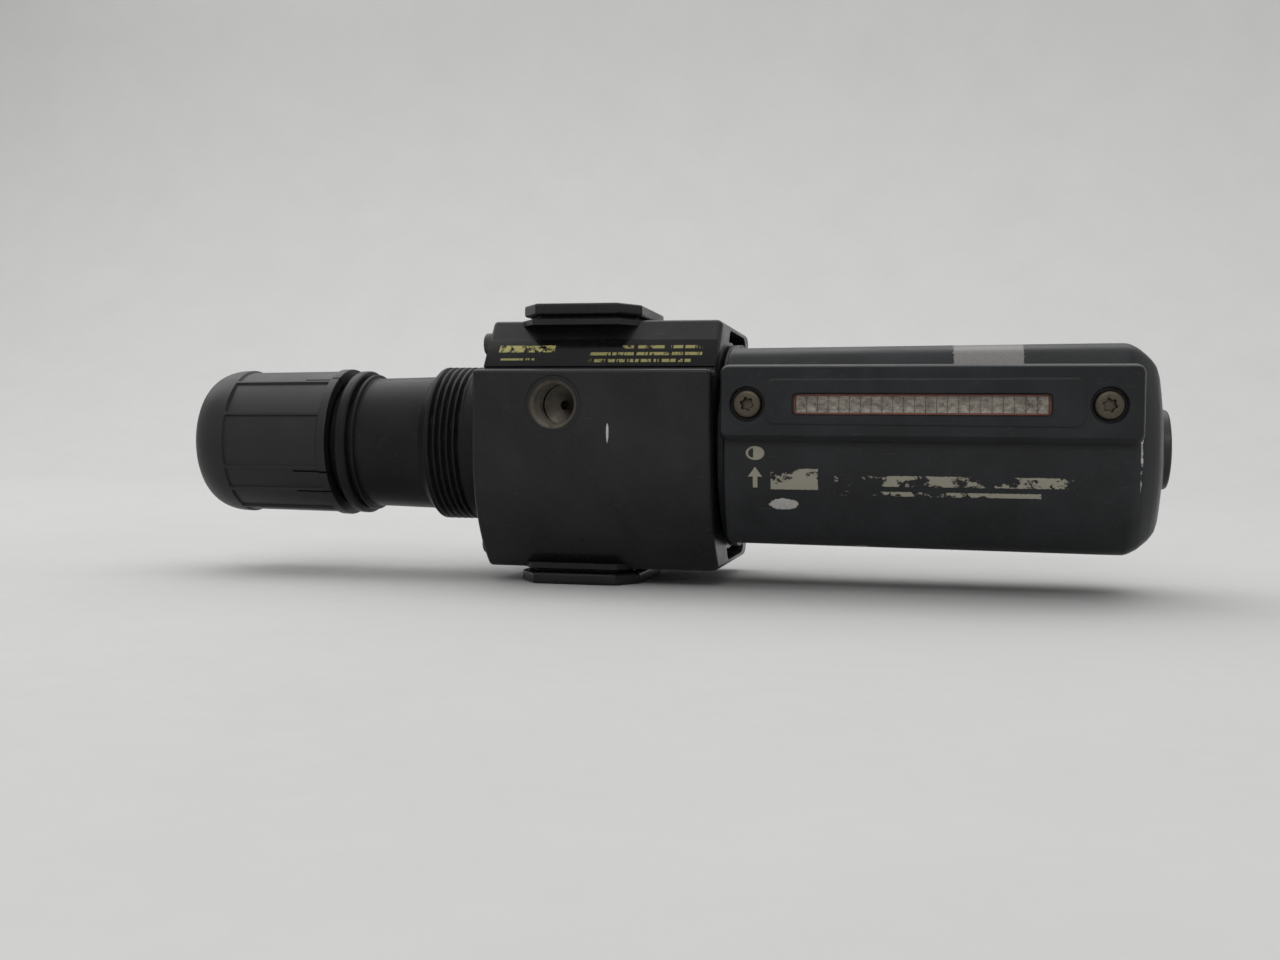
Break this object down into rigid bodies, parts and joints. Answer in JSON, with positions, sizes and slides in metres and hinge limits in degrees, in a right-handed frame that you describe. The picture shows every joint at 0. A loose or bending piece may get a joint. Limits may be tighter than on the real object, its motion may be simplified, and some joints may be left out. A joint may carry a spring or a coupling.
{
  "type": "compressed air filter regulator",
  "caption": "Filter regulator for compressed air with a push-lock knob, threaded bonnet neck, flanged ports, twist-off bowl, sight glass and float drain.",
  "frame": {"origin": "centre of the lower port's face, on which the object lies", "axes": "+X along the main axis from the knob to the drain, +Z from the lower port to the upper port, -Y towards the gauge port and the sight glass"},
  "size_m": [0.2856, 0.08, 0.08],
  "materials": {
    "body_paint": "satin",
    "label_gloss": "gloss",
    "bonnet_black": "satin",
    "bowl_paint": "satin",
    "knob_plastic": "satin",
    "dark_steel": "satin",
    "bright_steel": "satin",
    "brass": "satin",
    "rubber": "matte",
    "inner_plastic": "satin",
    "filter_white": "matte",
    "float_plastic": "satin",
    "lens_clear": "gloss",
    "gasket_red": "matte",
    "nut_black": "satin"
  },
  "bodies": {
    "housing": {"body": "body_paint", "label_plate": "label_gloss", "bonnet": "bonnet_black", "bonnet_screws": "dark_steel", "gauge_plug": "dark_steel", "diaphragm": "rubber", "aspirator_baffle": "inner_plastic", "valve_seat": "brass", "valve_seat_o_ring": "rubber", "valve_guide": "inner_plastic", "deflector": "inner_plastic", "filter_rod": "bright_steel", "filter_element": "filter_white", "element_retainer": "inner_plastic", "main_spring": "bright_steel", "valve_spring": "bright_steel"},
    "screw": {"adjusting_screw": "bright_steel", "thrust_washer": "brass", "retaining_ring": "dark_steel"},
    "knob": {"knob": "knob_plastic", "knob_end_disc": "knob_plastic"},
    "nut": {"spring_nut": "brass"},
    "diaphragm_stack": {"diaphragm_plate": "bright_steel", "relief_seat": "brass"},
    "valve": {"valve_pin": "bright_steel", "valve_disc": "rubber", "valve_stem": "brass"},
    "bowl": {"bowl": "bowl_paint", "bowl_o_ring": "rubber", "bezel": "bowl_paint", "bezel_screws": "dark_steel", "sight_lens": "lens_clear", "lens_gasket": "gasket_red", "lens_seal": "rubber", "float_cage": "inner_plastic", "drain_body": "brass", "drain_o_ring": "rubber", "drain_nut": "nut_black"},
    "float": {"float": "float_plastic"}
  },
  "joints": [
    {"name": "knob_turn", "type": "hinge", "parent": "housing", "child": "screw", "pos_m": [-0.078, 0, 0.04], "axis": [1, 0, 0], "range_deg": [0, 1890]},
    {"name": "knob_push", "type": "slide", "parent": "screw", "child": "knob", "axis": [1, 0, 0], "range_m": [0, 0.002]},
    {"name": "nut_travel", "type": "slide", "parent": "housing", "child": "nut", "axis": [1, 0, 0], "range_m": [0, 0.008], "deforming": ["main_spring"]},
    {"name": "diaphragm_move", "type": "slide", "parent": "housing", "child": "diaphragm_stack", "axis": [1, 0, 0], "range_m": [0, 0.0012], "stiffness_N_per_m": 1500, "deforming": ["diaphragm"]},
    {"name": "valve_lift", "type": "slide", "parent": "housing", "child": "valve", "axis": [1, 0, 0], "range_m": [0, 0.0012], "stiffness_N_per_m": 1500, "deforming": ["valve_spring"]},
    {"name": "bowl_turn", "type": "hinge", "parent": "housing", "child": "bowl", "pos_m": [0.032, 0, 0.04], "axis": [1, 0, 0], "range_deg": [0, 45]},
    {"name": "float_lift", "type": "slide", "parent": "bowl", "child": "float", "axis": [-1, 0, 0], "range_m": [0, 0.005]}
  ],
  "couplings": [
    {"joint": "nut_travel", "follows": "knob_turn", "m_per_rad": 0.00023873},
    {"joint": "valve_lift", "follows": "diaphragm_move", "ratio": 1}
  ]
}
